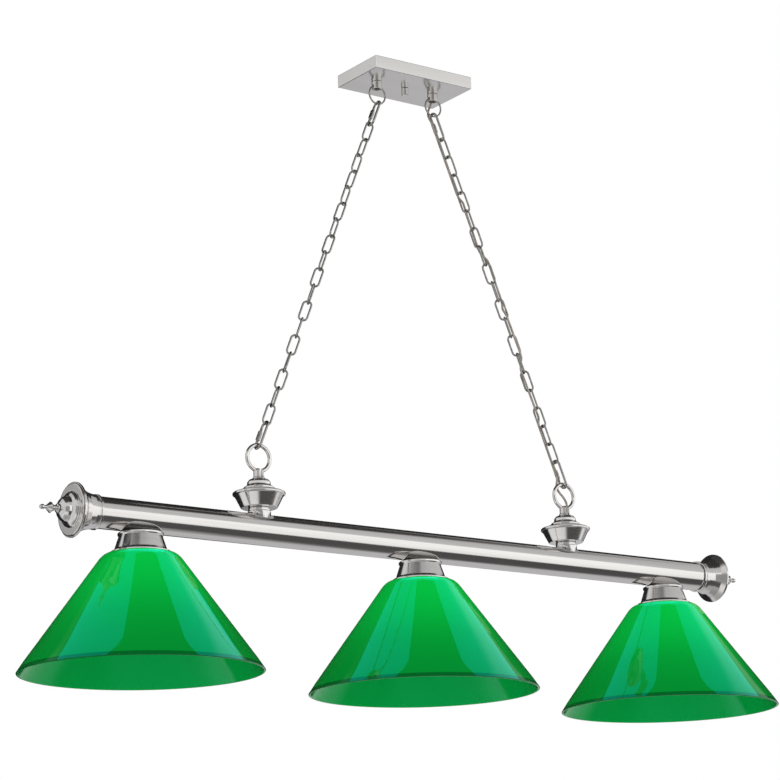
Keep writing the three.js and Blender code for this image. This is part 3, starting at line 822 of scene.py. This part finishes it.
def canopy_stud():
    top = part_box("canopy_stud")[1].z / MM
    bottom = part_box("canopy_stud")[0].z / MM
    rod = lathe("canopy_stud_rod", threaded_profile(3, 0, bottom, top - 0.6, 0.25), 32, False,
                threaded(3, 0.4, 1.0, bottom + 0.6, top - 1.4))
    flange = lathe("flange", filleted([(0, top - 1.2), (6, top - 1.2), (6, top), (0, top)], False, 0.2), 48,
        False)
    finish_piece(sharpen(join(rod, flange)), "canopy_assembly", "steel", ["canopy_stud"])


def canopy_nut():
    low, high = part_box("canopy_nut")
    bottom, top = low.z / MM, high.z / MM
    profile = filleted([(0, bottom), (4.7, bottom, 0.4), (5.5, bottom + 1, 0.5), (5.5, top - 0.2),
                        (3.4, top - 0.2), (3.4, bottom + 3), (0, bottom + 3)], False, 0.25)
    finish_piece(lathe("canopy_nut_cap", profile, 64, False), "canopy_nut", "turned", ["canopy_nut"])


def canopy_loop(side, name):
    """Threaded nipple, lock nut, ferrule with its two side windows, and the ring that hangs in it."""
    x = side * LOOP_X
    low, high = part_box(f"loop_nipple_{name}")
    bottom, top = low.z / MM, high.z / MM
    nipple = lathe(f"loop_nipple_thread_{name}", threaded_profile(5, 3.9, bottom, top, 0.25), 48, True,
                   threaded(5, 0.35, 1.0, bottom + 0.3, top - 0.3))
    finish_piece(nipple, "canopy_assembly", "brass", [f"loop_nipple_{name}"], at(x, 0, 0))
    low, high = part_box(f"lock_nut_{name}")
    finish_piece(hex_nut(f"lock_nut_hex_{name}", 8.0, 5.3, low.z / MM, high.z / MM), "canopy_assembly",
                 "brass", [f"lock_nut_{name}"], at(x, 0, 0))
    low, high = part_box(f"ferrule_{name}")
    bottom, top = low.z / MM, high.z / MM
    profile = filleted([(5.3, top), (8.4, top, 0.3), (8.4, bottom, 0.9), (6.5, bottom, 0.3),
                        (6.5, bottom + 9.8), (5.3, bottom + 9.8)], True, 0.15)
    ferrule = lathe(f"ferrule_body_{name}", profile, 64)
    window = box_piece("window", (34, 5.0, 5.2), (0, 0, RING_PIVOT_Z - 1.9), 0.8, 4)
    finish_piece(sharpen(cut(ferrule, window)), "canopy_assembly", "turned", [f"ferrule_{name}"], at(x, 0, 0))
    ring = circle(RING_RADIUS, 96)
    wire = tube_along(f"ring_wire_{name}", ring, RING_WIRE, 20, closed=True, normal=(0, 1, 0))
    finish_piece(wire, "top_rings", "wire", [f"top_ring_{name}"], at(x, 0, RING_PIVOT_Z - RING_RADIUS),
                 weighted=False)


def circle(radius, count):
    """Points of a circle in the XZ plane."""
    return [(radius * math.cos(a), 0, radius * math.sin(a))
        for a in (2 * math.pi * i / count for i in range(count))]


def hex_nut(name, corner, bore, bottom, top):
    """A hexagonal nut whose corners are turned down on both faces."""
    body = lathe(name, [(bore, bottom), (corner, bottom), (corner, top), (bore, top)], 6)
    shape = [(0, bottom), (corner * 0.9, bottom), (corner, bottom + corner * 0.06),
             (corner, top - corner * 0.06), (corner * 0.9, top), (0, top)]
    combine(body, lathe("chamfer", shape, 48, False), "INTERSECT")
    cut(body, lathe("bore", [(0, bottom - 1), (bore, bottom - 1), (bore, top + 1), (0, top + 1)], 40, False))
    return sharpen(body, 20)


# ---------------------------------------------------------------- chains

def oval(width, wire, inner, gap=0.0, arc_steps=14, side_steps=6):
    """The wire's centre line in the XZ plane, starting and ending at a gap half way up one side."""
    radius = width / 2 - wire
    half = inner / 2 + wire - radius
    points = [Vector((radius, 0, gap / 2 + (half - gap / 2) * i / side_steps)) for i in range(side_steps)]
    for i in range(arc_steps + 1):
        angle = math.pi * i / arc_steps
        points.append(Vector((radius * math.cos(angle), 0, half + radius * math.sin(angle))))
    for i in range(1, 2 * side_steps):
        points.append(Vector((-radius, 0, half - half * i / side_steps)))
    for i in range(arc_steps + 1):
        angle = math.pi + math.pi * i / arc_steps
        points.append(Vector((radius * math.cos(angle), 0, -half + radius * math.sin(angle))))
    for i in range(1, side_steps + 1):
        points.append(Vector((radius, 0, -half + (half - gap / 2) * i / side_steps)))
    return points


def link_place(side, index):
    turn = math.pi / 2 + index * (math.pi / 2 + TWIST_STEP)
    local = Matrix.Translation((0, 0, -LINK_CENTRES[index] * MM)) @ Matrix.Rotation(turn, 4, "Z")
    return chain_place(side) @ local


def quick_link(name, inner):
    """A larger oval with a long hexagonal nut over its opening."""
    radius = QUICK_WIDTH / 2 - QUICK_WIRE
    link = tube_along(name, oval(QUICK_WIDTH, QUICK_WIRE, inner), QUICK_WIRE, 18, closed=True,
        normal=(0, 1, 0))
    nut = hex_nut("sleeve", 3.5, 1.2, -7.5, 7.5)
    thread = lathe("thread", threaded_profile(2.25, 0, -11.5, 11.5, 0.2), 28, False,
                   threaded(2.25, 0.3, 0.9, -11.3, 11.3))
    join(link, placed(thread, at(radius, 0, 0)))
    join(link, placed(nut, at(radius, 0, 0)))
    return sharpen(link, 40)


def chain(side, name):
    for i in range(LINK_COUNT):
        if is_quick(i):
            place_name, body = ("top", f"{name}_chain") if i == 0 else ("bottom", f"{name}_lower_link")
            link = quick_link(f"quick_link_{place_name}_{name}", inner_length(i))
            finish_piece(link, body, "wire", [f"{place_name}_quick_link_{name}"], link_place(side, i))
            continue
        path = oval(LINK_WIDTH, LINK_WIRE, PITCH - 0.05, 0.3)
        link = tube_along(f"link_{name}_{i:02d}", path, LINK_WIRE, 16, normal=(0, 1, 0))
        sharpen(link, 50)
        finish_piece(link, f"{name}_chain", "wire", [f"chain_{name}"] if i == 1 else (), link_place(side, i),
                     weighted=False)


# ---------------------------------------------------------------- bar

def bar_tube():
    r, h = BAR_RADIUS, BAR_HALF
    profile = filleted([(r - 1.5, -h), (r, -h), (r, h), (r - 1.5, h)], True, 0.3)
    tube = lathe("bar_tube_drawn", profile, 160)
    tube.visible_glossy = False
    finish_piece(tube, "bar", "drawn", ["bar_tube"], at(0, 0, BAR_Z, Matrix.Rotation(math.pi / 2, 4, "Y")))


def bar_cutter():
    """The bar's outside as a solid, seen from a holder that stands on top of it."""
    solid = lathe("bar_cutter", [(0, -90), (BAR_RADIUS + 0.05, -90), (BAR_RADIUS + 0.05, 90), (0, 90)], 160,
        False)
    return placed(solid, at(0, 0, -BAR_RADIUS, Matrix.Rotation(math.pi / 2, 4, "Y")))


def holder(side, name):
    """The stack on top of the bar that one chain hangs on: neck, cup, dome cap, and the loop in its stem."""
    place = at(side * HOLDER_X, 0, BAR_TOP)
    neck = lathe(f"base_neck_spun_{name}", filleted([(5, -14), (17.5, -14), (17.5, 3.4, 0.5),
                                                     (16.6, 4.4, 0.6), (16.6, 8.9), (5, 8.9)], True, 0.4), 96)
    finish_piece(sharpen(cut(neck, bar_cutter())), "bar", "turned", [f"base_neck_{name}"], place)
    cup = [(5, 9.3), (27.2, 9.3, 0.4), (27.9, 9.9, 0.4), (37.2, 28.2, 0.8), (38.0, 28.9, 0.4),
           (39.6, 29.3, 0.7), (40, 31.0, 0.8), (39.7, 32.5, 0.6), (38.2, 33.5, 0.4), (24.5, 38, 0.4), (5, 38)]
    finish_piece(lathe(f"holder_cup_spun_{name}", filleted(cup, True, 0.5, 5), 128), "bar", "turned",
                 [f"holder_cup_{name}"], place)
    cap = [(5, 38.3), (23.4, 38.3, 0.5), (23.4, 40.4, 0.7), (21.5, 42.0, 1.6), (18.6, 43.4, 0.8),
           (17.9, 44.8, 0.4), (17.6, 49.0, 3.0), (14.6, 52.6, 3.0), (9.6, 54.5, 0.8), (5, 54.5)]
    dome = lathe(f"dome_cap_spun_{name}", filleted(cap, True, 0.5, 6), 128)
    hole = lathe("hole", [(0, 34), (2.8, 34), (2.8, 66), (0, 66)], 24, False)
    finish_piece(sharpen(cut(dome, placed(hole, at(0, -6.6, 0))), 40), "bar", "turned",
        [f"dome_cap_{name}"], place)
    finish_piece(loop(name), "bar", "bright_wire", [f"lower_loop_{name}"], place)


def loop(name):
    """A round loop cast in one piece with its stem, with a groove down the front for the cord."""
    stem = [(0, 54.8), (9.2, 54.8, 0.4), (9.2, 56.4, 0.6), (7.9, 57.3, 0.6), (7.9, 67.0, 1.6),
            (5.6, 69.8, 1.4), (0, 69.8)]
    body = lathe(f"lower_loop_cast_{name}", filleted(stem, False, 0.4), 64, False)
    cut(body, box_piece("groove", (4.8, 8, 40), (0, -8.5, 65), 1.0, 4))
    ring = tube_along("ring", circle(LOOP_RADIUS, 96), LOOP_WIRE, 20, closed=True, normal=(0, 1, 0))
    join(body, placed(ring, at(0, 0, LOOP_CENTRE)))
    return sharpen(body, 40)


def bar_end(side, name):
    """The stack on one end of the bar: flared bell, domed cover with its wide disk, and the finial."""
    place = at(side * END_X, 0, BAR_Z, Matrix.Rotation(side * math.pi / 2, 4, "Y"))
    bell = [(23.7, -39), (25.9, -39, 0.5), (25.9, -35.8, 0.5), (24.8, -35.2, 0.3), (24.8, -34.0, 0.3),
            (25.4, -33.4, 0.4), (25.6, -28.5, 4), (28, -18.5, 7), (33, -9.2, 5), (39.6, -3.6, 1.2),
            (40.2, -2.6, 0.5), (40.2, 0, 0.4), (38.6, 0, 0.3), (31, -8, 4), (26.4, -18.5, 6), (23.7, -29, 4)]
    finish_piece(lathe(f"end_bell_spun_{name}", filleted(bell, True, 0.4, 6), 128), "bar", "turned",
                 [f"end_bell_{name}"], place)
    cover = [(3.4, 0.5), (38, 0.3, 0.3), (38.2, 1.9, 0.5), (36.6, 2.1, 0.3), (26.4, 2.1, 0.4),
             (25.7, 2.7, 0.4),
             (25.7, 4.6, 1.0), (23.8, 6.6, 2.0), (19.6, 8.8, 1.0), (18.9, 9.6, 0.4), (18.2, 13.5, 3.0),
             (14.5, 18.0, 4.0), (7.8, 21.4, 2.0), (3.4, 22.0)]
    finish_piece(lathe(f"end_cover_spun_{name}", filleted(cover, True, 0.4, 6), 128), "bar", "turned",
                 [f"end_cover_{name}"], place)
    tip = [(0, 22.3), (6.9, 22.3, 0.5), (7.1, 23.4, 0.6), (6.4, 24.6, 0.6), (4.2, 25.4, 0.6),
           (3.6, 27.4, 1.2),
           (4.6, 29.2, 0.8), (4.2, 30.4, 0.6), (8.4, 34.9, 0.9), (3.0, 41.0, 1.2), (2.3, 44.0, 1.0),
           (3.6, 45.6, 0.9), (3.7, 48.2, 1.4), (2.4, 51.0, 1.4), (0, 51.3)]
    finish_piece(lathe(f"finial_turned_{name}", filleted(tip, False, 0.4, 5), 64, False), f"finial_{name}",
                 "turned", [f"finial_{name}"], place)


# ---------------------------------------------------------------- lamps

def bezier(a, b, c, steps):
    return [(a * (1 - t) ** 2 + b * 2 * t * (1 - t) + c * t * t)
        for t in (i / steps for i in range(steps + 1))]


def shade(name, x):
    """A glass cone with a soft shoulder and a rounded rim."""
    rim_r, rim_z, cone_r, cone_z, flat_r, top_z, wall = 178, -204, 62, -41.9, 44, -30.5, 3.5
    slope = (rim_r - cone_r) / (cone_z - rim_z)
    sideways = wall * math.hypot(1, slope)
    corner = cone_r - slope * (top_z - cone_z)

    def shoulder(inset, drop):
        return bezier(Vector((flat_r, top_z - drop)), Vector((corner + slope * drop - inset, top_z - drop)),
                      Vector((cone_r - inset, cone_z)), 18)

    def cone(inset):
        return [Vector((cone_r - inset + (rim_r - cone_r) * t, cone_z + (rim_z + 2.2 - cone_z) * t))
                for t in (i / 12 for i in range(1, 13))]

    outer, inner = cone(0), cone(sideways)
    edge = [Vector(p) for p in ((rim_r + 0.0, rim_z + 1.1), (rim_r - 0.4, rim_z + 0.35), (rim_r - 1.2, rim_z),
                                (rim_r - 2.9, rim_z), (rim_r - 3.8, rim_z + 0.4))]
    profile = [Vector((20.8, top_z))] + shoulder(0, 0) + outer[:-1] + edge
    profile += inner[:-1][::-1] + shoulder(sideways, wall)[::-1] + [Vector((20.8, top_z - wall))]
    piece = lathe(f"glass_cone_{name}", profile, 192)
    piece.visible_glossy = False
    return finish_piece(piece, "bar", "glass", [f"shade_{name}"], at(x, 0, BAR_BOTTOM))


def shade_fitter(name, x):
    """The spun metal cap between the bar and the glass."""
    profile = [(5.3, -0.3), (31.6, -0.3, 0.6), (33.4, -1.0, 0.9), (33.5, -3.6, 1.2), (31.9, -5.6, 0.6),
               (32.4, -7.0, 1.0), (38.2, -24.4, 2.0), (39.6, -26.6, 0.6), (41.2, -26.9, 0.8),
               (43.8, -28.2, 0.9),
               (44, -30.2, 0.4), (42.2, -30.2, 0.3), (37.4, -27.4, 1.5), (30.8, -5.0, 2.0), (30.2, -1.9, 0.6),
               (5.3, -1.9)]
    finish_piece(lathe(f"shade_fitter_spun_{name}", filleted(profile, True, 0.3, 5), 128), "bar", "turned",
                 [f"shade_fitter_{name}"], at(x, 0, BAR_BOTTOM))


def lamp_socket(name, x):
    """A moulded socket body, its threaded brass shell, and the ribbed ring that holds the glass."""
    place = at(x, 0, BAR_BOTTOM)
    body = [(5.3, -8), (14.2, -8, 1.2), (15.4, -10.2, 1.0), (19.5, -13, 1.0), (19.5, -26, 0.4),
            (18.9, -26.6, 0.3),
            (18.9, -41.6, 0.3), (19.5, -42.2, 0.4), (19.5, -57.5, 0.8), (15.2, -57.5, 0.4), (15.2, -18.5),
            (5.3, -18.5)]

    def screw(angle, r, z):
        if r < 18.8 or not -41 < z < -27:
            return r
        return r - 0.5 * (0.5 + 0.5 * math.cos(angle + 2 * math.pi * z / 2.5))

    wall = filleted(body, True, 0.4)
    start = next(i for i, p in enumerate(wall) if p.x < 19.0 and p.y < -26.4 and p.y > -27.5)
    wall[start + 1:start + 1] = [Vector((18.9, -27 - 0.35 * i)) for i in range(1, 40)]
    finish_piece(lathe(f"lamp_socket_moulded_{name}", wall, 72, True, screw), "bar", "phenolic",
                 [f"lamp_socket_{name}"], place)
    finish_piece(screw_shell(name), "bar", "brass", [f"screw_shell_{name}"], place)
    low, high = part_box(f"shade_ring_{name}")
    top, bottom = (high.z / MM - BAR_BOTTOM), (low.z / MM - BAR_BOTTOM)
    ring_profile = filleted([(20.1, bottom), (27.2, bottom, 0.6), (28, bottom + 0.8, 0.5),
                             (28, top - 0.8, 0.5), (27.2, top, 0.5), (20.1, top)], True, 0.3)

    def ribs(angle, r, z):
        return r - 0.5 * (0.5 + 0.5 * math.cos(36 * angle)) if r > 27.5 else r

    ring = lathe(f"shade_ring_ribbed_{name}", ring_profile, 216, True, ribs)
    finish_piece(ring, f"shade_ring_{name}", "phenolic", [f"shade_ring_{name}"], place)


def screw_shell(name):
    """A thin rolled shell with the lamp thread, and the spring contact in its floor."""
    steps = [i / 96 for i in range(97)]
    outer = [Vector((14.3, -20 - 36 * t)) for t in steps]
    inner = [Vector((13.9, -56 + 34.6 * t)) for t in steps]

    def roll(angle, r, z):
        return r + 0.3 * math.sin(angle + 2 * math.pi * z / 3.6) if r > 13.5 and -54 < z < -24 else r

    shell = lathe(f"screw_shell_rolled_{name}", [Vector((0, -20))] + outer + inner + [Vector((0, -21.4))],
                  72, False, roll)
    tongue = box_piece("tongue", (9, 4, 0.6), (0, 0, 0), 0.2, 2)
    placed(tongue, at(1.5, 0, -22.6, Matrix.Rotation(math.radians(14), 4, "Y")))
    return join(shell, tongue)


# ---------------------------------------------------------------- frame nodes kept as they are

def keep_frame_nodes():
    """Pieces inside the bar keep the frame's own mesh, with a finish of their own."""
    finishes = {"end_anchor": "steel", "holder_nipple": "brass", "holder_nut": "brass",
                "lamp_nipple": "brass", "wiring_harness": "insulation"}
    for node_name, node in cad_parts.items():
        finish = next((f for start, f in finishes.items() if node_name.startswith(start)), None)
        if finish:
            node.data.materials.clear()
            node.data.materials.append(MATERIALS[finish])


def build():
    add_camera()
    power_cord()
    canopy_pan()
    mounting_strap()
    ground_screw()
    canopy_stud()
    canopy_nut()
    for side, name in SIDES:
        canopy_loop(side, name)
        chain(side, name)
        holder(side, name)
        bar_end(side, name)
    bar_tube()
    shades = []
    for side, name in PLACES:
        shades.append(shade(name, side * LAMP_X))
        shade_fitter(name, side * LAMP_X)
        lamp_socket(name, side * LAMP_X)
    keep_frame_nodes()
    studio_world()
    add_floor()
    add_lights(shades)
    bpy.context.scene.view_settings.view_transform = "Standard"


build()
